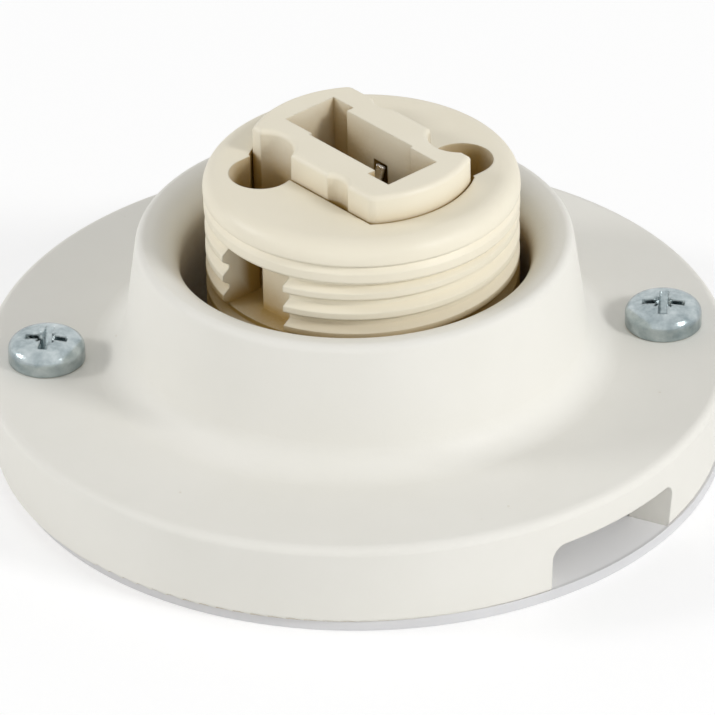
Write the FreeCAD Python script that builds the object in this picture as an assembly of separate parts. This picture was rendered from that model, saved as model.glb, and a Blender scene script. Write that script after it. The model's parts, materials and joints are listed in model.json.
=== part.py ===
"""Surface lampholder: a porcelain base on a steel back plate, carrying a threaded
steatite insert that takes a two-pin capsule lamp and a screwed shade ring.

Millimetres, +Z up. The origin is on the base's axis at the underside of the back
plate, and X runs along the line of the two fixing screws. Every piece of the insert is drawn
about the insert's own axis, with its long side along X, and seat() turns it and sets
it down in the base.
"""
import FreeCAD, Part
import math
import os

# Back plate
PLATE_R = 32.45
PLATE_T = 1.0
PLATE_SHIFT = 0.5
CABLE_HOLE_R = 9.0
WALL_SLOT_Y = 20.0
WALL_SLOT_HALF_WIDTH = 2.2
WALL_SLOT_LENGTH = 9.0
BOSS_R = 2.6
BOSS_TOP = 3.0

# Fixing screws, M3.5 pan head
FIXING_X = 27.7
FIXING_Y = 0.6
FIXING_R = 1.72
FIXING_TAP_R = 1.75
FIXING_HEAD_R = 3.45
FIXING_HEAD_H = 2.3
FIXING_TIP_Z = 0.8
FIXING_TURN = {-1: -14.0, 1: -10.0}

# Porcelain base
BASE_FOOT_R = 32.8
BASE_EDGE_R = 33.4
BASE_TOP = 9.0
BASE_EDGE_ROUND = 0.8
HOLLOW_R = 29.0
HOLLOW_TOP = 5.5
FLOOR_TOP = 8.5
PILLAR_R = 4.2
BASE_SCREW_HOLE_R = 2.1

# Collar of the base
COLLAR_TOP = 20.6
COLLAR_OUTER_R = 19.5
COLLAR_CREST_R = 18.7
COLLAR_DRAFT = 8.0
COLLAR_FILLET = 3.0
BORE_R = 15.6

# Cable notch in the skirt of the base
NOTCH_AZIMUTH = -51.3
NOTCH_HALF_ANGLE = 12.9
NOTCH_TOP = 5.7
NOTCH_FLARE = 20.0
NOTCH_CORNER = 1.4

# Insert: place, barrel and thread (28 x 2)
INSERT_X = 0.7
INSERT_TURN = -53.0
BARREL_FOOT = FLOOR_TOP
BARREL_FLOOR = 13.0
BARREL_TOP = 27.4
TOP_EDGE_ROUND = 1.7
CAP_R = 14.05
LIP_R = 14.0
THREAD_R = 13.95
ROOT_R = 13.25
PITCH = 2.0
CREST_FLAT = 0.56
FLANK_RISE = 0.52
LIP_CREST = 24.2
LIP_FOOT = 23.5
THREAD_FOOT = 12.6
THREAD_START = 9.75
THREAD_TURNS = 7
WINDOW_FOOT = 17.3
WINDOW_X = (-3.2, 4.4)
CHAMBER_EDGE_X = -0.5
WINDOW_BACK_Y = -11.3
CHAMBER_BACK_Y = -7.4
LUG_X = (10.4, 12.6)
LUG_HALF = 1.3
LUG_GAP = 0.3

# Contact block and its opening in the barrel's top
BLOCK_TOP = 30.0
BLOCK_R = 10.0
BLOCK_HALF_WIDTH = 6.0
BLOCK_GAP = 0.2
NOOK_X = 5.2
NOOK_Y = 7.2
NOOK_R = 2.85
BLOCK_STEP_Y = 5.25
BLOCK_STEP_GAP = 0.7
GROOVE_X = 3.65
GROOVE_R = 1.9
GROOVE_DEPTH = 0.55
BLOCK_EDGE_ROUND = 0.5
BLOCK_CORNER_ROUND = 0.9

# Lamp well in the block
WELL_HALF_X = 7.4
WELL_HALF_Y = 2.6
WELL_FLOOR = 19.0
WELL_STEP_X = 3.9
WELL_STEP_Y = 2.3
WELL_POCKET_X = 4.75
WELL_POCKET_Y = 3.4
PIN_X = 4.5
PIN_SLOT_HALF_X = 1.5
PIN_SLOT_HALF_Y = 0.8
CHAMBER_TOP = 18.0
CLIP_X = -0.35
CLIP_SLOT_HALF_X = 0.9
CLIP_SLOT_TOP = 26.6

# Sprung strips
STRIP_T = 0.3
CLIP_WIDTH = 1.0
CLIP_FOOT_Y = 4.25
CONTACT_T = 0.4
CONTACT_WIDTH = 2.2

# Terminals under the barrel floor
TERMINAL_Y = 6.6
TERMINAL_HALF = 2.5
TERMINAL_FOOT = 9.4
TERMINAL_SCREW_Y = 6.9
TERMINAL_TAP_R = 1.25
SPIGOT_Y = 5.1
SPIGOT_R = 0.7
TAIL_END_Y = 5.95
ACCESS_R = 4.2

# Central body screw, M2.5
BODY_R = 1.24
BODY_CLEARANCE_R = 1.7
NUT_HALF = 2.5
NUT_FOOT = 16.5
NUT_TOP = 18.1
FLAT_WASHER_T = 0.5
SPRING_WASHER_T = 0.6


def vec(x, y, z=0.0):
    return FreeCAD.Vector(x, y, z)


def on_circle(centre, radius, degrees):
    """A point of a circle in the drawing plane."""
    turn = math.radians(degrees)
    return (centre[0] + radius * math.cos(turn), centre[1] + radius * math.sin(turn))


def edges_of(start, steps, to_space):
    """Edges through steps: a point is a straight run, a pair of points is an arc."""
    edges = []
    here = start
    for step in steps:
        if isinstance(step[0], tuple):
            through, end = step
            arc = Part.Arc(to_space(*here), to_space(*through), to_space(*end))
            edges.append(arc.toShape())
        else:
            end = step
            edges.append(Part.makeLine(to_space(*here), to_space(*end)))
        here = end
    return edges


def in_section(x, z):
    return vec(x, 0, z)


def revolved(start, *steps):
    """Solid of revolution about Z from a closed section in X and Z."""
    wire = Part.Wire(edges_of(start, steps + (start,), in_section))
    return Part.Face(wire).revolve(vec(0, 0), vec(0, 0, 1), 360)


def cylinder(radius, foot, top, x=0.0, y=0.0):
    return Part.makeCylinder(radius, top - foot, vec(x, y, foot))


def box(x0, x1, y0, y1, foot, top):
    return Part.makeBox(x1 - x0, y1 - y0, top - foot, vec(x0, y0, foot))


def slot_prism(half_width, length, foot, top, x=0.0, y=0.0):
    """Round-ended slot along Y, centred on x, y."""
    reach = length / 2 - half_width
    ends = [cylinder(half_width, foot, top, x, y + side * reach) for side in (-1, 1)]
    middle = box(x - half_width, x + half_width, y - reach, y + reach, foot, top)
    return middle.multiFuse(ends).removeSplitter()


def level_edges(shape, z):
    """The shape's edges that lie in the level plane at z."""
    def is_level(bounds):
        return abs(bounds.ZMin - z) + abs(bounds.ZMax - z) < 1e-4

    return [edge for edge in shape.Edges if is_level(edge.BoundBox)]


def upright_edges(shape, x, y):
    """The shape's edges that stand on the plan point x, y."""
    def stands(bounds):
        across = abs(bounds.XMin - x) + abs(bounds.XMax - x)
        along = abs(bounds.YMin - y) + abs(bounds.YMax - y)
        return across + along < 1e-3

    return [edge for edge in shape.Edges if stands(edge.BoundBox)]


def half_turned(shape):
    """The same shape turned half a turn about Z."""
    copy = shape.copy()
    copy.rotate(vec(0, 0), vec(0, 0, 1), 180)
    return copy


def both_ways(shapes):
    """The shapes and their copies half a turn round."""
    return list(shapes) + [half_turned(shape) for shape in shapes]


def seat(shape):
    """Move a piece from the insert's own axes to its place in the base."""
    placed = shape.copy()
    placed.rotate(vec(0, 0), vec(0, 0, 1), INSERT_TURN)
    placed.translate(vec(INSERT_X, 0))
    return placed


def bent_strip(points, thickness, width, bend):
    """Flat strip bent along points in Y and Z, its thickness on the path's right."""
    path = [vec(0, y, z) for y, z in points]
    edges = []
    here = path[0]
    for before, corner, after in zip(path, path[1:], path[2:]):
        towards = (before - corner).normalize()
        away = (after - corner).normalize()
        half = towards.getAngle(away) / 2
        run = bend / math.tan(half)
        middle = (towards + away).normalize()
        centre = corner + middle * (bend / math.sin(half))
        start = corner + towards * run
        end = corner + away * run
        edges.append(Part.makeLine(here, start))
        edges.append(Part.Arc(start, centre - middle * bend, end).toShape())
        here = end
    edges.append(Part.makeLine(here, path[-1]))
    face = Part.Wire(edges).makeOffset2D(thickness, 0, True, True)
    strip = face.extrude(vec(width, 0, 0))
    strip.translate(vec(-width / 2, 0, 0))
    return strip


# ---------------------------------------------------------------- base and plate

def collar_section():
    """Steps of the base's section from the disc's top over the collar to its bore."""
    crest_round = COLLAR_OUTER_R - COLLAR_CREST_R
    lean = math.radians(COLLAR_DRAFT)
    crest = (COLLAR_CREST_R, COLLAR_TOP - crest_round)
    wall_top = on_circle(crest, crest_round, COLLAR_DRAFT)
    wall_foot_z = BASE_TOP + COLLAR_FILLET * (1 - math.sin(lean))
    wall_foot_r = wall_top[0] + (wall_top[1] - wall_foot_z) * math.tan(lean)
    fillet = (wall_foot_r + COLLAR_FILLET * math.cos(lean), BASE_TOP + COLLAR_FILLET)
    mouth_round = COLLAR_CREST_R - BORE_R
    mouth = (COLLAR_CREST_R, COLLAR_TOP - mouth_round)
    return [
        (fillet[0], BASE_TOP),
        (on_circle(fillet, COLLAR_FILLET, (270 + 180 + COLLAR_DRAFT) / 2), (wall_foot_r, wall_foot_z)),
        wall_top,
        (on_circle(crest, crest_round, (90 + COLLAR_DRAFT) / 2), (COLLAR_CREST_R, COLLAR_TOP)),
        (on_circle(mouth, mouth_round, 135), (BORE_R, COLLAR_TOP - mouth_round)),
    ]


def base_shell():
    """The pressed porcelain body before its holes: skirt, disc, floor and collar."""
    edge = (BASE_EDGE_R - BASE_EDGE_ROUND, BASE_TOP - BASE_EDGE_ROUND)
    foot_round = 0.4
    foot = (BASE_FOOT_R - foot_round, PLATE_T + foot_round)
    cove = (HOLLOW_R - 1.0, HOLLOW_TOP - 1.0)
    steps = [
        (foot[0], PLATE_T),
        (on_circle(foot, foot_round, -45), (BASE_FOOT_R, foot[1])),
        (BASE_EDGE_R, edge[1]),
        (on_circle(edge, BASE_EDGE_ROUND, 45), (edge[0], BASE_TOP)),
    ]
    steps += collar_section()
    steps += [
        (BORE_R, FLOOR_TOP),
        (0, FLOOR_TOP),
        (0, HOLLOW_TOP),
        (cove[0], HOLLOW_TOP),
        (on_circle(cove, 1.0, 45), (HOLLOW_R, cove[1])),
    ]
    return revolved((HOLLOW_R, PLATE_T), *steps)


def cable_notch():
    """Cutter for the cable's way in: wider outside than inside, with round top corners."""
    outer_r = BASE_EDGE_R + 3
    inner_r = HOLLOW_R - 2
    half = BASE_EDGE_R * math.sin(math.radians(NOTCH_HALF_ANGLE))
    pinch = math.tan(math.radians(NOTCH_FLARE))
    foot_x = BASE_EDGE_R * math.cos(math.radians(NOTCH_HALF_ANGLE))

    def half_width(radius):
        return half + (radius - foot_x) * pinch

    def gate(radius):
        wide = half_width(radius)
        corner = (wide - NOTCH_CORNER, NOTCH_TOP - NOTCH_CORNER)
        steps = [
            (wide, corner[1]),
            (on_circle(corner, NOTCH_CORNER, 45), (corner[0], NOTCH_TOP)),
            (-corner[0], NOTCH_TOP),
            (on_circle((-corner[0], corner[1]), NOTCH_CORNER, 135), (-wide, corner[1])),
            (-wide, 0.0),
        ]
        start = (wide, 0.0)
        return Part.Wire(edges_of(start, steps + [start], lambda y, z: vec(radius, y, z)))

    cutter = Part.makeLoft([gate(inner_r), gate(outer_r)], True, True)
    cutter.rotate(vec(0, 0), vec(0, 0, 1), NOTCH_AZIMUTH)
    return cutter


def porcelain_base():
    shell = base_shell()
    pillars = []
    cutters = [cable_notch()]
    for side in (-1, 1):
        x = side * FIXING_X
        pillars.append(cylinder(PILLAR_R, BOSS_TOP + 0.3, BASE_TOP - 0.5, x, FIXING_Y))
        cutters.append(cylinder(BASE_SCREW_HOLE_R, 0, BASE_TOP + 1, x, FIXING_Y))
        cutters.append(cylinder(BOSS_R + 0.6, 0, BOSS_TOP + 0.3, x, FIXING_Y))
    access = cylinder(ACCESS_R, HOLLOW_TOP - 1, FLOOR_TOP + 1, PIN_X, TERMINAL_SCREW_Y)
    keyway = box(
        LUG_X[0] - LUG_GAP, LUG_X[1] + LUG_GAP, -LUG_HALF - LUG_GAP, LUG_HALF + LUG_GAP,
        FLOOR_TOP - 1.5, FLOOR_TOP + 1,
    )
    cutters += [seat(shape) for shape in both_ways([access, keyway])]
    cutters.append(cylinder(BODY_CLEARANCE_R + 0.6, HOLLOW_TOP - 1, FLOOR_TOP + 1, INSERT_X))
    return shell.multiFuse(pillars).cut(Part.makeCompound(cutters)).removeSplitter()


def back_plate():
    plate = cylinder(PLATE_R, 0, PLATE_T, PLATE_SHIFT)
    bosses = [cylinder(BOSS_R, 0, BOSS_TOP, side * FIXING_X, FIXING_Y) for side in (-1, 1)]
    cutters = [cylinder(CABLE_HOLE_R, -1, PLATE_T + 1)]
    for side in (-1, 1):
        cutters.append(cylinder(FIXING_TAP_R, -1, BOSS_TOP + 1, side * FIXING_X, FIXING_Y))
        cutters.append(
            slot_prism(WALL_SLOT_HALF_WIDTH, WALL_SLOT_LENGTH, -1, PLATE_T + 1, 0, side * WALL_SLOT_Y)
        )
    return plate.multiFuse(bosses).cut(Part.makeCompound(cutters)).removeSplitter()


def wing(reach, half_width, depth, turn):
    """One tapering wing of a cross recess, its mouth just above z = 0."""
    corners = [
        vec(-reach, -half_width, 0.2),
        vec(reach, -half_width, 0.2),
        vec(reach * 0.4, -half_width, -depth),
        vec(-reach * 0.4, -half_width, -depth),
    ]
    section = Part.Face(Part.makePolygon(corners + corners[:1]))
    solid = section.extrude(vec(0, 2 * half_width, 0))
    solid.rotate(vec(0, 0), vec(0, 0, 1), turn)
    return solid


def cross_recess(top, reach, depth):
    """Cutter for a cross recess with a shallow star between its wings."""
    wings = [wing(reach, reach * 0.19, depth, turn) for turn in (0, 90)]
    star = [wing(reach * 0.62, reach * 0.07, depth * 0.35, turn) for turn in (45, 135)]
    cutter = wings[0].multiFuse([wings[1]] + star)
    cutter.translate(vec(0, 0, top))
    return cutter


def pan_screw(head_r, head_h, shank_r, seat_z, tip_z):
    """Pan head cross-recess screw on Z, head up, its head seated at seat_z."""
    top = seat_z + head_h
    body = revolved(
        (0, tip_z),
        (shank_r - 0.3, tip_z),
        (shank_r, tip_z + 0.3),
        (shank_r, seat_z),
        (head_r - 0.12, seat_z),
        (head_r, seat_z + 0.12),
        (head_r, seat_z + head_h * 0.50),
        ((head_r * 0.92, seat_z + head_h * 0.78), (head_r * 0.74, seat_z + head_h * 0.90)),
        ((head_r * 0.38, seat_z + head_h * 0.975), (0, top)),
    )
    return body.cut(cross_recess(top, head_r * 0.63, head_h * 0.75))


def flipped(shape, height):
    """The shape turned over about X and set so that its z = 0 lies at height."""
    copy = shape.copy()
    copy.rotate(vec(0, 0), vec(1, 0), 180)
    copy.translate(vec(0, 0, height))
    return copy


def fixing_screw(side):
    screw = pan_screw(FIXING_HEAD_R, FIXING_HEAD_H, FIXING_R, BASE_TOP, FIXING_TIP_Z)
    screw.rotate(vec(0, 0), vec(0, 0, 1), FIXING_TURN[side])
    screw.translate(vec(side * FIXING_X, FIXING_Y))
    return screw


# ---------------------------------------------------------------- insert

def helix_edge(radius, foot):
    """One turn of the thread's helix."""
    turn = Part.makeHelix(PITCH, PITCH, radius)
    turn.translate(vec(0, 0, foot))
    return turn.Edges[0]


def threaded_rod():
    """Rod with a right-hand thread, cut level at both ends.

    One turn is a strip of root, flank, crest, flank and root; the end turns are closed
    by a helical face and by their own section, and the level cut takes them off.
    """
    section = [
        (ROOT_R, 0.0),
        (THREAD_R, FLANK_RISE),
        (THREAD_R, FLANK_RISE + CREST_FLAT),
        (ROOT_R, 2 * FLANK_RISE + CREST_FLAT),
        (ROOT_R, PITCH),
    ]
    faces = []
    for turn in range(THREAD_TURNS):
        foot = THREAD_START + turn * PITCH
        for (lower_r, lower_z), (upper_r, upper_z) in zip(section, section[1:]):
            lower = helix_edge(lower_r, foot + lower_z)
            upper = helix_edge(upper_r, foot + upper_z)
            faces.append(Part.makeRuledSurface(lower, upper))
    for foot in (THREAD_START, THREAD_START + THREAD_TURNS * PITCH):
        axis = Part.makeLine(vec(0, 0, foot), vec(0, 0, foot + PITCH))
        faces.append(Part.makeRuledSurface(axis, helix_edge(ROOT_R, foot)))
        outline = [vec(0, 0, foot)] + [vec(r, 0, foot + z) for r, z in section] + [vec(0, 0, foot + PITCH)]
        faces.append(Part.Face(Part.makePolygon(outline + outline[:1])))
    shell = Part.makeShell(faces)
    shell.sewShape()
    return Part.makeSolid(shell).common(cylinder(THREAD_R + 1, THREAD_FOOT, LIP_FOOT))


def barrel_blank():
    """The barrel before its cuts: foot ring, thread, lip, groove and rounded cap."""
    edge = (CAP_R - TOP_EDGE_ROUND, BARREL_TOP - TOP_EDGE_ROUND)
    head = revolved(
        (0, LIP_FOOT),
        (THREAD_R - 0.15, LIP_FOOT),
        (LIP_R, LIP_CREST - 0.45),
        (LIP_R, LIP_CREST + 0.35),
        (LIP_R - 0.35, LIP_CREST + 0.95),
        (CAP_R, LIP_CREST + 1.25),
        (CAP_R, edge[1]),
        (on_circle(edge, TOP_EDGE_ROUND, 45), (edge[0], BARREL_TOP)),
        (0, BARREL_TOP),
    )
    foot = revolved(
        (0, BARREL_FOOT),
        (ROOT_R - 0.6, BARREL_FOOT),
        (ROOT_R - 0.2, BARREL_FOOT + 0.4),
        (ROOT_R - 0.2, THREAD_FOOT),
        (0, THREAD_FOOT),
    )
    return threaded_rod().multiFuse([head, foot])


def block_outline(foot, top, gap=0.0, step_gap=0.0):
    """The contact block's plan as a solid, grown all round by gap, its steps by step_gap."""
    disc = cylinder(BLOCK_R + gap, foot, top)
    half = BLOCK_HALF_WIDTH + gap
    body = disc.common(box(-20, 20, -half, half, foot, top))
    nook = cylinder(NOOK_R + 0.1 - gap, foot, top, NOOK_X, NOOK_Y)
    step = box(NOOK_X, 20, BLOCK_STEP_Y + step_gap, 20, foot, top)
    return body.cut(Part.makeCompound(both_ways([nook, step])))


def rounded_block():
    """The contact block before its well: grooved, its plan's corners and top edge rounded."""
    body = block_outline(BARREL_FLOOR, BLOCK_TOP)
    corner_x = math.sqrt(BLOCK_R ** 2 - BLOCK_HALF_WIDTH ** 2)
    corners = upright_edges(body, corner_x, -BLOCK_HALF_WIDTH)
    corners += upright_edges(body, -corner_x, BLOCK_HALF_WIDTH)
    body = body.makeFillet(BLOCK_CORNER_ROUND, corners)
    groove_y = -BLOCK_HALF_WIDTH + GROOVE_DEPTH - GROOVE_R
    grooves = both_ways([cylinder(GROOVE_R, BARREL_FLOOR - 1, BLOCK_TOP + 1, GROOVE_X, groove_y)])
    body = body.cut(Part.makeCompound(grooves)).removeSplitter()
    return body.makeFillet(BLOCK_EDGE_ROUND, level_edges(body, BLOCK_TOP))


def contact_block():
    well = box(-WELL_HALF_X, WELL_STEP_X, -WELL_STEP_Y, WELL_HALF_Y, WELL_FLOOR, BLOCK_TOP + 1)
    pocket = box(WELL_POCKET_X, WELL_HALF_X, -WELL_POCKET_Y, 0, WELL_FLOOR, BLOCK_TOP + 1)
    pin_slot = box(
        PIN_X - PIN_SLOT_HALF_X, PIN_X + PIN_SLOT_HALF_X,
        -PIN_SLOT_HALF_Y, PIN_SLOT_HALF_Y, CHAMBER_TOP - 1, WELL_FLOOR + 1,
    )
    chamber = box(PIN_X - 1.35, PIN_X + 1.35, -1.9, 1.9, BARREL_FLOOR - 1, CHAMBER_TOP)
    tail_way = box(PIN_X - 1.35, PIN_X + 1.35, 1.0, 7.0, BARREL_FLOOR - 1, BARREL_FLOOR + 0.9)
    clip_sides = (CLIP_X - CLIP_SLOT_HALF_X, CLIP_X + CLIP_SLOT_HALF_X)
    clip_slot = box(*clip_sides, 0.5, 5.1, WELL_FLOOR, CLIP_SLOT_TOP)
    clip_shaft = box(*clip_sides, 3.2, 5.1, BARREL_FLOOR - 1, WELL_FLOOR + 1)
    nut_reach = NUT_HALF + 0.05
    nut_seat = box(-nut_reach, nut_reach, -nut_reach, nut_reach, NUT_FOOT, WELL_FLOOR + 1)
    screw_hole = cylinder(BODY_CLEARANCE_R, BARREL_FLOOR - 1, NUT_FOOT + 1)
    cutters = both_ways([well, pocket, pin_slot, chamber, tail_way, clip_slot, clip_shaft])
    return rounded_block().cut(Part.makeCompound(cutters + [nut_seat, screw_hole])).removeSplitter()


def threaded_barrel():
    opening = block_outline(BARREL_FLOOR, BARREL_TOP + 1, BLOCK_GAP, BLOCK_STEP_GAP)
    nook = cylinder(NOOK_R, WINDOW_FOOT, BARREL_TOP + 1, NOOK_X, NOOK_Y)
    nook_side = box(NOOK_X, NOOK_X + NOOK_R, BLOCK_STEP_Y, NOOK_Y, WINDOW_FOOT, BARREL_TOP + 1)
    window = box(*WINDOW_X, -20, WINDOW_BACK_Y, WINDOW_FOOT, LIP_FOOT)
    chamber = box(WINDOW_X[0], CHAMBER_EDGE_X, WINDOW_BACK_Y - 0.5, CHAMBER_BACK_Y, WINDOW_FOOT, LIP_FOOT)
    terminal_seat = box(
        PIN_X - TERMINAL_HALF, PIN_X + TERMINAL_HALF, TERMINAL_Y - TERMINAL_HALF,
        TERMINAL_Y + TERMINAL_HALF, BARREL_FOOT - 2, BARREL_FLOOR,
    )
    tail_way = box(
        PIN_X - 1.35, PIN_X + 1.35, TERMINAL_Y - TERMINAL_HALF, TAIL_END_Y + 0.3,
        BARREL_FLOOR - 1, BARREL_FLOOR + 0.9,
    )
    cutters = both_ways([nook, nook_side, window, chamber, terminal_seat, tail_way])
    screw_hole = cylinder(BODY_CLEARANCE_R, BARREL_FOOT - 1, BARREL_FLOOR + 1)
    lugs = both_ways([box(LUG_X[0], LUG_X[1], -LUG_HALF, LUG_HALF, BARREL_FOOT - 1.2, BARREL_FOOT + 0.5)])
    body = barrel_blank().cut(Part.makeCompound(cutters + [opening, screw_hole]))
    return body.multiFuse(lugs).removeSplitter()


def retaining_clip():
    """Leaf that leans into the well to hold the lamp and rocks about its foot."""
    foot = BARREL_FLOOR + 0.06 + STRIP_T
    points = [
        (CLIP_FOOT_Y - 0.9, foot),
        (CLIP_FOOT_Y, foot),
        (3.75, WELL_FLOOR + 1.5),
        (1.75, 24.1),
        (2.6, 26.3),
    ]
    clip = bent_strip(points, STRIP_T, CLIP_WIDTH, 0.45)
    clip.translate(vec(CLIP_X, 0))
    return clip


def lamp_contact():
    """U-shaped spring that grips a lamp pin, with a tail that runs out to its terminal."""
    leaf = [
        (0.75, CHAMBER_TOP - 0.35),
        (0.42, 16.4),
        (1.35, 14.4),
        (1.35, BARREL_FLOOR + CONTACT_T / 2),
    ]
    right = bent_strip(leaf, STRIP_T, CONTACT_WIDTH, 0.4)
    left = right.mirror(vec(0, 0), vec(0, 1))
    half = CONTACT_WIDTH / 2
    web = box(-half, half, -1.65, TAIL_END_Y, BARREL_FLOOR, BARREL_FLOOR + CONTACT_T)
    web = web.cut(cylinder(SPIGOT_R, BARREL_FLOOR - 1, BARREL_FLOOR + 1, 0, SPIGOT_Y))
    spring = web.multiFuse([right, left]).removeSplitter()
    spring.translate(vec(PIN_X, 0))
    return spring


def terminal():
    """Brass block with a tapped hole below and a spigot riveted over the contact's tail."""
    body = box(
        PIN_X - TERMINAL_HALF, PIN_X + TERMINAL_HALF,
        TERMINAL_Y - TERMINAL_HALF, TERMINAL_Y + TERMINAL_HALF, TERMINAL_FOOT, BARREL_FLOOR,
    )
    tail_top = BARREL_FLOOR + CONTACT_T
    spigot = cylinder(SPIGOT_R, BARREL_FLOOR - 1, tail_top, PIN_X, SPIGOT_Y)
    head = cylinder(SPIGOT_R + 0.3, tail_top, tail_top + 0.25, PIN_X, SPIGOT_Y)
    tapped = cylinder(TERMINAL_TAP_R, TERMINAL_FOOT - 1, BARREL_FLOOR + 1, PIN_X, TERMINAL_SCREW_Y)
    return body.multiFuse([spigot, head]).cut(tapped)


def wire_clamp():
    """Square washer that presses the wire to the terminal, its two sides turned up."""
    half = 2.15
    foot = TERMINAL_FOOT - 0.8
    plate = box(-half, half, -half, half, foot, TERMINAL_FOOT)
    plate = plate.cut(box(-half + 0.6, half - 0.6, -half - 1, half + 1, foot + 0.5, TERMINAL_FOOT + 1))
    plate = plate.cut(cylinder(TERMINAL_TAP_R + 0.15, foot - 1, TERMINAL_FOOT + 1))
    plate.translate(vec(PIN_X, TERMINAL_SCREW_Y))
    return plate


def terminal_screw():
    shank = TERMINAL_FOOT - 0.8
    screw = flipped(pan_screw(2.15, 1.9, TERMINAL_TAP_R - 0.03, 0, -3.6), shank)
    screw.translate(vec(PIN_X, TERMINAL_SCREW_Y))
    return screw


def body_screw():
    """Central screw, head down, that draws block and barrel on to the base's floor."""
    seat_z = HOLLOW_TOP - FLAT_WASHER_T - SPRING_WASHER_T
    return flipped(pan_screw(2.4, 1.9, BODY_R, 0, -(NUT_TOP - 0.3 - seat_z)), seat_z)


def flat_washer():
    foot = HOLLOW_TOP - FLAT_WASHER_T
    return cylinder(3.3, foot, HOLLOW_TOP).cut(cylinder(BODY_R + 0.1, foot - 1, HOLLOW_TOP + 1))


def spring_washer():
    """Split ring, flattened by the screw."""
    foot = HOLLOW_TOP - FLAT_WASHER_T - SPRING_WASHER_T
    ring = cylinder(2.3, foot, foot + SPRING_WASHER_T)
    ring = ring.cut(cylinder(BODY_R + 0.08, foot - 1, foot + 2))
    return ring.cut(box(0, 4, -0.25, 0.25, foot - 1, foot + 2))


def body_nut():
    nut = box(-NUT_HALF, NUT_HALF, -NUT_HALF, NUT_HALF, NUT_FOOT, NUT_TOP)
    return nut.cut(cylinder(BODY_R + 0.02, NUT_FOOT - 1, NUT_TOP + 1))


def make_nodes():
    """Every piece by name, in its place."""
    nodes = {
        "back_plate": back_plate(),
        "porcelain_base": porcelain_base(),
        "fixing_screw_left": fixing_screw(-1),
        "fixing_screw_right": fixing_screw(1),
    }
    alone = {
        "threaded_barrel": threaded_barrel(),
        "contact_block": contact_block(),
        "body_screw": body_screw(),
        "flat_washer": flat_washer(),
        "spring_washer": spring_washer(),
        "body_nut": body_nut(),
    }
    paired = {
        "lamp_contact": lamp_contact(),
        "terminal": terminal(),
        "wire_clamp": wire_clamp(),
        "terminal_screw": terminal_screw(),
    }
    for name, shape in alone.items():
        nodes[name] = seat(shape)
    for name, shape in paired.items():
        nodes[name + "_right"] = seat(shape)
        nodes[name + "_left"] = seat(half_turned(shape))
    clip = retaining_clip()
    nodes["retaining_clip_back"] = seat(clip)
    nodes["retaining_clip_front"] = seat(half_turned(clip))
    return nodes


def main():
    os.makedirs("parts", exist_ok=True)
    for name, shape in make_nodes().items():
        solid = shape if shape.ShapeType == "Solid" else shape.Solids[0]
        print(f"{name}: {solid.Volume:.1f} mm3, {len(shape.Solids)} solid, valid {solid.isValid()}")
        solid.exportStep(f"parts/{name}.step")


if __name__ == "__main__":
    main()
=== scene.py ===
"""Studio scene of the surface lampholder: materials, light, floor and camera."""
import bpy
import json
import math
from collections import namedtuple
from mathutils import Matrix, Vector


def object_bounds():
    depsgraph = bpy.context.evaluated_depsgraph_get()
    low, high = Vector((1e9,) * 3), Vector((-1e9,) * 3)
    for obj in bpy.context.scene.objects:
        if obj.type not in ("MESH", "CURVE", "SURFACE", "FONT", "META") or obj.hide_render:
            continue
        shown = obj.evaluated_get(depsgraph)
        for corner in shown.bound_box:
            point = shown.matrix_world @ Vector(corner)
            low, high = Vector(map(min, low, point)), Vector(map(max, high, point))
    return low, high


# Camera: degrees, metres, and millimetres of lens and sensor
CAMERA_AZIMUTH = -4.27
CAMERA_ELEVATION = 31.74
CAMERA_ROLL = 1.06
CAMERA_DISTANCE = 0.6
CAMERA_NEAR = 0.01
CAMERA_LENS = 337.1
CAMERA_SENSOR = 36.0
AIM = Vector((0.00006, 0.0, 0.0076))

# Light: the surroundings' strength near the horizon and overhead, the heights between
# which it changes (0 level, 1 straight up), and lamps as azimuth, elevation and watts
HORIZON_LIGHT = 0.97
ZENITH_LIGHT = 0.38
SKY_HEIGHTS = (0.2, 0.8)
LAMP_DISTANCE = 1.0
LAMP_SIZE = 0.2
KEY = (53.7, 31.0, 3.9)
FILL = (-94.3, 27.0, 2.5)

# Floor: its size, its drop below the object, its real paleness, and what the camera sees
# of it as shade and as plain white
FLOOR_SIZE = 4.0
FLOOR_GAP = 0.00005
FLOOR_PALENESS = 0.90
FLOOR_SHADE_SHARE = 0.50
FLOOR_WHITE_SHARE = 0.56

# Edges sharper than this stay sharp when the surfaces are shaded smooth
SHARP_ANGLE = math.radians(28)

# Rounding that the shading gives to the edges of fired clay and of plated metal
CLAY_EDGE = 0.00022
METAL_EDGE = 0.00035
EDGE_SAMPLES = 4

# Fired clay. Open and closed are the openness where the painted shade in a hollow starts and is full.
Clay = namedtuple("Clay", "pale deep speck rough open closed hollow_tint")
PORCELAIN = Clay(
    pale=(0.835, 0.820, 0.765),
    deep=(0.810, 0.795, 0.735),
    speck=(0.74, 0.71, 0.63),
    rough=0.55,
    open=0.18,
    closed=0.02,
    hollow_tint=(0.52, 0.36, 0.14),
)
STEATITE = Clay(
    pale=(0.870, 0.815, 0.670),
    deep=(0.835, 0.775, 0.625),
    speck=(0.74, 0.66, 0.50),
    rough=0.42,
    open=0.62,
    closed=0.30,
    hollow_tint=(0.50, 0.34, 0.10),
)

# Sizes and depths of fired clay's clouds, specks, gloss patches, waves and grain, the
# noise levels between which specks fade out, and its gloss
CLAY_CLOUDS = 0.012
CLAY_SPECKS = 0.0016
SPECK_LEVELS = (0.20, 0.25)
CLAY_GLOSS_PATCHES = 0.004
CLAY_WAVES = 0.004
CLAY_WAVE_DEPTH = 0.00005
CLAY_GRAIN = 0.00035
CLAY_GRAIN_DEPTH = 0.000006
CLAY_ROUGH_SPREAD = 0.05
CLAY_SPECULAR = 0.35

# How far round itself a hollow is looked for, for the painted shade in hollows
HOLLOW_REACH = 0.007
HOLLOW_SAMPLES = 6
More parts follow.
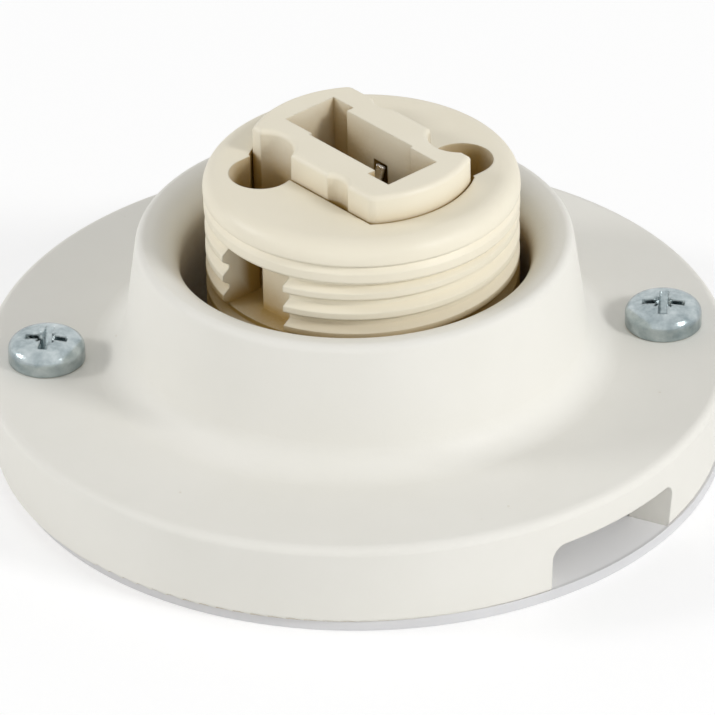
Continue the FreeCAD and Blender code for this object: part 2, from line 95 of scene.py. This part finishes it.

# The insert's axis, the span of radius over which its inside begins, and the span of
# height over which it goes down into the collar: the places where its hollows get painted shade
INSERT_AXIS = (0.0007, 0.0, 0.0)
INSIDE_RADII = (0.0124, 0.0108)
SUNK_HEIGHTS = (0.0200, 0.0172)

# Back plate: its axis, the span of radius over which its grey rim turns to the paler painted light
# under the base, their colours, the roughness from smooth to coarse, and the sizes and depth of its
# texture
PLATE_AXIS = (0.0005, 0.0, 0.0)
PLATE_PAINTED_LIGHT_RADII = (0.03235, 0.0320)
PLATE_PAINTED_LIGHT = (0.90, 0.90, 0.915)
PLATE_RIM_DEEP = (0.68, 0.68, 0.69)
PLATE_RIM_PALE = (0.72, 0.72, 0.73)
PLATE_ROUGH = (0.42, 0.55)
PLATE_CLOUDS = 0.006
PLATE_GLOSS_PATCHES = 0.002
PLATE_GRAIN = 0.0008
PLATE_GRAIN_DEPTH = 0.00001

# Plated metals as pale colour, deep colour and roughness, and their texture
METALS = {
    "zinc_steel": ((0.56, 0.62, 0.63), (0.29, 0.35, 0.365), 0.18),
    "terminal_brass": ((0.86, 0.68, 0.36), (0.74, 0.56, 0.27), 0.32),
    "nickel_strip": ((0.82, 0.79, 0.72), (0.72, 0.69, 0.62), 0.25),
    "spring_steel": ((0.84, 0.83, 0.81), (0.72, 0.71, 0.70), 0.22),
}
METAL_CLOUDS = 0.0015
METAL_GRAIN = 0.0004
METAL_GRAIN_DEPTH = 0.000006
METAL_ROUGH_SPREAD = 0.07

# Noise levels between which cloudy tones and gloss run from one value to the other
CLOUD_LEVELS = (0.3, 0.7)

WHITE = (1.0, 1.0, 1.0)


def direction(azimuth, elevation):
    """Unit vector from the object towards a place seen at these angles in degrees."""
    a = math.radians(azimuth)
    e = math.radians(elevation)
    return Vector((math.sin(a) * math.cos(e), -math.cos(a) * math.cos(e), math.sin(e)))


# ---------------------------------------------------------------- node helpers

class Nodes:
    """A node tree with short calls for its nodes and links."""

    def __init__(self, tree):
        self.tree = tree

    def add(self, kind, **settings):
        node = self.tree.nodes.new(kind)
        for key, value in settings.items():
            setattr(node, key, value)
        return node

    def link(self, source, target):
        self.tree.links.new(source, target)

    def math(self, operation, first, second):
        node = self.add("ShaderNodeMath", operation=operation)
        self.link(first, node.inputs[0])
        self.link(second, node.inputs[1])
        return node.outputs[0]

    def rescale(self, value, start, end, low, high, easing="LINEAR"):
        """low where value is start to high where it is end, level beyond them."""
        node = self.add("ShaderNodeMapRange", interpolation_type=easing)
        node.inputs["From Min"].default_value = start
        node.inputs["From Max"].default_value = end
        node.inputs["To Min"].default_value = low
        node.inputs["To Max"].default_value = high
        self.link(value, node.inputs["Value"])
        return node.outputs["Result"]

    def span(self, value, start, end):
        """0 at start to 1 at end, eased at both and level beyond them."""
        return self.rescale(value, start, end, 0.0, 1.0, "SMOOTHSTEP")

    def height(self, place):
        axes = self.add("ShaderNodeSeparateXYZ")
        self.link(place, axes.inputs[0])
        return axes.outputs["Z"]


class Shader(Nodes):
    """A material under construction."""

    def __init__(self, name):
        self.material = bpy.data.materials.new(name)
        self.material.use_nodes = True
        super().__init__(self.material.node_tree)
        self.surface = self.tree.nodes["Principled BSDF"]
        self.place = self.add("ShaderNodeTexCoord").outputs["Object"]

    def set(self, **sockets):
        for name, value in sockets.items():
            self.surface.inputs[name.replace("_", " ")].default_value = value

    def colour(self, source):
        self.link(source, self.surface.inputs["Base Color"])

    def roughness(self, source):
        self.link(source, self.surface.inputs["Roughness"])

    def noise(self, size, detail=3.0, roughness=0.5):
        """Noise whose features are about size metres across."""
        node = self.add("ShaderNodeTexNoise")
        node.inputs["Scale"].default_value = 1.0 / size
        node.inputs["Detail"].default_value = detail
        node.inputs["Roughness"].default_value = roughness
        self.link(self.place, node.inputs["Vector"])
        return node.outputs["Fac"]

    def ramp(self, factor, low, high, levels=CLOUD_LEVELS):
        """Colour or grey from low to high as factor runs between the levels."""
        node = self.add("ShaderNodeValToRGB")
        for element, position, value in zip(node.color_ramp.elements, levels, (low, high)):
            colour = (value,) * 3 if isinstance(value, float) else value
            element.position = position
            element.color = (*colour, 1.0)
        self.link(factor, node.inputs["Fac"])
        return node.outputs["Color"]

    def mix(self, factor, first, second, blend="MIX"):
        """Mix of two colours, each a socket or a tuple."""
        node = self.add("ShaderNodeMix", data_type="RGBA", blend_type=blend)
        for socket, value in ((node.inputs[0], factor), (node.inputs[6], first), (node.inputs[7], second)):
            if isinstance(value, bpy.types.NodeSocket):
                self.link(value, socket)
            elif isinstance(value, float):
                socket.default_value = value
            else:
                socket.default_value = (*value, 1.0)
        return node.outputs[2]

    def hollow(self, open_share, closed_share):
        """0 where open_share of the surroundings is open, 1 where only closed_share is."""
        node = self.add("ShaderNodeAmbientOcclusion", samples=HOLLOW_SAMPLES)
        node.inputs["Distance"].default_value = HOLLOW_REACH
        return self.span(node.outputs["AO"], open_share, closed_share)

    def radius(self, axis):
        """Distance from the upright line through axis."""
        offset = self.add("ShaderNodeVectorMath", operation="SUBTRACT")
        offset.inputs[1].default_value = axis
        self.link(self.place, offset.inputs[0])
        level = self.add("ShaderNodeVectorMath", operation="MULTIPLY")
        level.inputs[1].default_value = (1.0, 1.0, 0.0)
        self.link(offset.outputs[0], level.inputs[0])
        length = self.add("ShaderNodeVectorMath", operation="LENGTH")
        self.link(level.outputs[0], length.inputs[0])
        return length.outputs["Value"]

    def soft_edges(self, radius):
        """Normal with edges rounded to the radius."""
        node = self.add("ShaderNodeBevel", samples=EDGE_SAMPLES)
        node.inputs["Radius"].default_value = radius
        return node.outputs["Normal"]

    def bump(self, *layers, normal=None):
        """Bump from (height socket, depth in metres) layers, one over the other."""
        for height, depth in layers:
            node = self.add("ShaderNodeBump")
            node.inputs["Distance"].default_value = depth
            self.link(height, node.inputs["Height"])
            if normal:
                self.link(normal, node.inputs["Normal"])
            normal = node.outputs["Normal"]
        self.link(normal, self.surface.inputs["Normal"])


# ---------------------------------------------------------------- materials

def fired_clay(shader, clay, hollow):
    """Unglazed fired clay: faint cloudy tone, fine specks, warm painted shade in its hollows, soft edges.
    """
    clouds = shader.ramp(shader.noise(CLAY_CLOUDS, 4.0, 0.55), clay.deep, clay.pale)
    specks = shader.ramp(shader.noise(CLAY_SPECKS, 2.0, 0.7), 0.0, 1.0, SPECK_LEVELS)
    toned = shader.mix(specks, clay.speck, clouds)
    # Painted shade: hollows are darkened and browned in the colour itself, by how closed in they are
    shade = shader.mix(hollow, WHITE, clay.hollow_tint)
    shader.colour(shader.mix(1.0, toned, shade, "MULTIPLY"))
    smooth, coarse = clay.rough - CLAY_ROUGH_SPREAD, clay.rough + CLAY_ROUGH_SPREAD
    shader.roughness(shader.ramp(shader.noise(CLAY_GLOSS_PATCHES), smooth, coarse))
    shader.set(Specular_IOR_Level=CLAY_SPECULAR)
    shader.bump(
        (shader.noise(CLAY_WAVES), CLAY_WAVE_DEPTH),
        (shader.noise(CLAY_GRAIN, 2.0), CLAY_GRAIN_DEPTH),
        normal=shader.soft_edges(CLAY_EDGE),
    )
    return shader.material


def white_porcelain():
    shader = Shader("white_porcelain")
    return fired_clay(shader, PORCELAIN, shader.hollow(PORCELAIN.open, PORCELAIN.closed))


def cream_steatite():
    """The insert's clay, with painted shade in its hollows inside it and down in the collar."""
    shader = Shader("cream_steatite")
    # Painted shade is kept to the insert's inside and to the part sunk in the collar
    inside = shader.span(shader.radius(INSERT_AXIS), *INSIDE_RADII)
    sunk = shader.span(shader.height(shader.place), *SUNK_HEIGHTS)
    hidden = shader.math("MAXIMUM", inside, sunk)
    hollow = shader.math("MULTIPLY", shader.hollow(STEATITE.open, STEATITE.closed), hidden)
    return fired_clay(shader, STEATITE, hollow)


def grey_sheet():
    """Sheet steel, grey at the rim that stands clear of the base, and painted paler under the base as
    painted light where the base shades it.
    """
    shader = Shader("grey_sheet")
    rim = shader.ramp(shader.noise(PLATE_CLOUDS, 4.0), PLATE_RIM_DEEP, PLATE_RIM_PALE)
    painted_light = shader.span(shader.radius(PLATE_AXIS), *PLATE_PAINTED_LIGHT_RADII)
    # Painted light: the plate is paler where it lies under the base, in the base's shade
    shader.colour(shader.mix(painted_light, rim, PLATE_PAINTED_LIGHT))
    shader.roughness(shader.ramp(shader.noise(PLATE_GLOSS_PATCHES), *PLATE_ROUGH))
    shader.bump((shader.noise(PLATE_GRAIN), PLATE_GRAIN_DEPTH))
    return shader.material


def metal(name, pale, deep, rough):
    """Plated metal: cloudy tone, uneven gloss, fine tool marks and soft edges."""
    shader = Shader(name)
    shader.set(Metallic=1.0)
    shader.colour(shader.ramp(shader.noise(METAL_CLOUDS, 4.0, 0.6), deep, pale))
    smooth, coarse = rough - METAL_ROUGH_SPREAD, rough + METAL_ROUGH_SPREAD
    shader.roughness(shader.ramp(shader.noise(METAL_GRAIN), smooth, coarse))
    shader.bump((shader.noise(METAL_GRAIN), METAL_GRAIN_DEPTH), normal=shader.soft_edges(METAL_EDGE))
    return shader.material


def make_materials():
    """A material for each slot of the record."""
    materials = {name: metal(name, *looks) for name, looks in METALS.items()}
    materials["white_porcelain"] = white_porcelain()
    materials["cream_steatite"] = cream_steatite()
    materials["grey_sheet"] = grey_sheet()
    return materials


def dress(nodes, record):
    """Give every CAD node its slot's material and smooth shading with sharp edges."""
    materials = make_materials()
    for entry in record["subparts"]:
        node = nodes[entry["node"]]
        node.data.materials.clear()
        node.data.materials.append(materials[entry["material_slot"]])
        node.data.shade_smooth()
        node.data.set_sharp_from_angle(angle=SHARP_ANGLE)


# ---------------------------------------------------------------- stage

def plain_shader(nodes, kind, level):
    """Shader node of this kind in an even grey."""
    node = nodes.add(kind)
    node.inputs["Color"].default_value = (level, level, level, 1.0)
    return node.outputs[0]


def floor_material():
    """White floor that keeps its shadows, lifted to white for the camera only."""
    shader = Shader("floor")
    real = plain_shader(shader, "ShaderNodeBsdfDiffuse", FLOOR_PALENESS)
    seen = shader.add("ShaderNodeAddShader")
    shader.link(plain_shader(shader, "ShaderNodeBsdfDiffuse", FLOOR_SHADE_SHARE), seen.inputs[0])
    shader.link(plain_shader(shader, "ShaderNodeEmission", FLOOR_WHITE_SHARE), seen.inputs[1])
    choice = shader.add("ShaderNodeMixShader")
    shader.link(shader.add("ShaderNodeLightPath").outputs["Is Camera Ray"], choice.inputs["Fac"])
    shader.link(real, choice.inputs[1])
    shader.link(seen.outputs[0], choice.inputs[2])
    shader.link(choice.outputs[0], shader.tree.nodes["Material Output"].inputs["Surface"])
    shader.tree.nodes.remove(shader.surface)
    return shader.material


def make_floor(height):
    half = FLOOR_SIZE / 2
    corners = [(-half, -half, height), (half, -half, height), (half, half, height), (-half, half, height)]
    mesh = bpy.data.meshes.new("floor")
    mesh.from_pydata(corners, [], [(0, 1, 2, 3)])
    mesh.materials.append(floor_material())
    floor = bpy.data.objects.new("floor", mesh)
    bpy.context.scene.collection.objects.link(floor)


def make_world():
    """White surroundings: full white to the eye and in gloss, dimmer overhead as a light."""
    world = bpy.data.worlds.new("studio")
    bpy.context.scene.world = world
    world.use_nodes = True
    sky = Nodes(world.node_tree)
    rays = sky.add("ShaderNodeLightPath").outputs
    seen = sky.math("MAXIMUM", rays["Is Camera Ray"], rays["Is Glossy Ray"])
    seen = sky.math("MAXIMUM", seen, rays["Is Transmission Ray"])
    height = sky.height(sky.add("ShaderNodeTexCoord").outputs["Generated"])
    light = sky.rescale(height, *SKY_HEIGHTS, HORIZON_LIGHT, ZENITH_LIGHT)
    strength = sky.add("ShaderNodeMix")
    strength.inputs["B"].default_value = 1.0
    sky.link(seen, strength.inputs["Factor"])
    sky.link(light, strength.inputs["A"])
    background = world.node_tree.nodes["Background"]
    background.inputs["Color"].default_value = (*WHITE, 1.0)
    sky.link(strength.outputs["Result"], background.inputs["Strength"])


def aim_at(thing, target, roll=0.0):
    """Turn thing so that its -Z looks at target, rolled clockwise by roll degrees."""
    look = (target - thing.location).to_track_quat("-Z", "Y").to_matrix().to_4x4()
    turn = Matrix.Rotation(math.radians(-roll), 4, "Z")
    thing.matrix_world = Matrix.Translation(thing.location) @ look @ turn


def area_light(name, azimuth, elevation, power):
    """Square lamp of power watts that looks at the object from these angles."""
    data = bpy.data.lights.new(name, "AREA")
    data.shape = "SQUARE"
    data.size = LAMP_SIZE
    data.energy = power
    light = bpy.data.objects.new(name, data)
    bpy.context.scene.collection.objects.link(light)
    light.location = AIM + direction(azimuth, elevation) * LAMP_DISTANCE
    aim_at(light, AIM)


def make_camera():
    data = bpy.data.cameras.new("camera")
    data.lens = CAMERA_LENS
    data.sensor_width = CAMERA_SENSOR
    data.clip_start = CAMERA_NEAR
    camera = bpy.data.objects.new("camera", data)
    bpy.context.scene.collection.objects.link(camera)
    camera.location = AIM + direction(CAMERA_AZIMUTH, CAMERA_ELEVATION) * CAMERA_DISTANCE
    aim_at(camera, AIM, CAMERA_ROLL)
    bpy.context.scene.camera = camera


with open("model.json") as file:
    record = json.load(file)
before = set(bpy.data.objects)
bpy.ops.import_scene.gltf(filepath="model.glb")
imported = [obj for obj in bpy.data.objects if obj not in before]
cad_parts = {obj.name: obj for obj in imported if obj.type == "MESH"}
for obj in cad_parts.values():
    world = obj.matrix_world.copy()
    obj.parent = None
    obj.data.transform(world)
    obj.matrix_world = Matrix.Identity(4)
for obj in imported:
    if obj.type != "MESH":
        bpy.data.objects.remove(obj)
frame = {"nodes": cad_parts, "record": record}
cad_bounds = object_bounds()
bpy.context.scene.view_settings.view_transform = "Standard"
make_camera()
dress(frame["nodes"], frame["record"])
make_world()
area_light("key", *KEY)
area_light("fill", *FILL)
make_floor(cad_bounds[0][2] - FLOOR_GAP)
